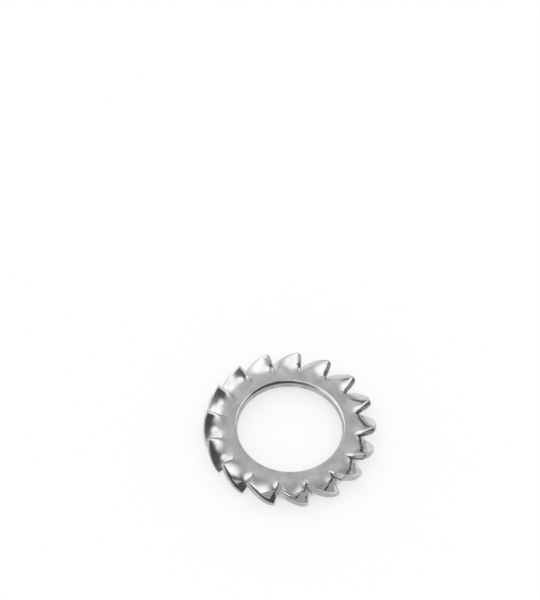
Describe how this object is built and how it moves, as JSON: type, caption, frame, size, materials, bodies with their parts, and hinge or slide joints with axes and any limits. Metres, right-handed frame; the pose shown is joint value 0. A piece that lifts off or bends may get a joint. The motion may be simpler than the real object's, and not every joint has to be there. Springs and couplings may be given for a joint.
{
  "type": "toothed lock washer",
  "caption": "Flat spring-steel washer whose rim is slit into short teeth, each twisted so that its corners bite into the nut and the part under it.",
  "frame": {"origin": "on the washer's axis, halfway through the sheet of the flat ring", "axes": "+Z along the axis, out of the face with the rounded upper edges; +X through the middle of a tooth"},
  "size_m": [0.0176, 0.0176, 0.0028],
  "materials": {
    "plated_steel": "bright nickel plate over tumbled spring steel"
  },
  "bodies": {
    "root": {"lock_washer": "plated_steel"}
  },
  "joints": []
}
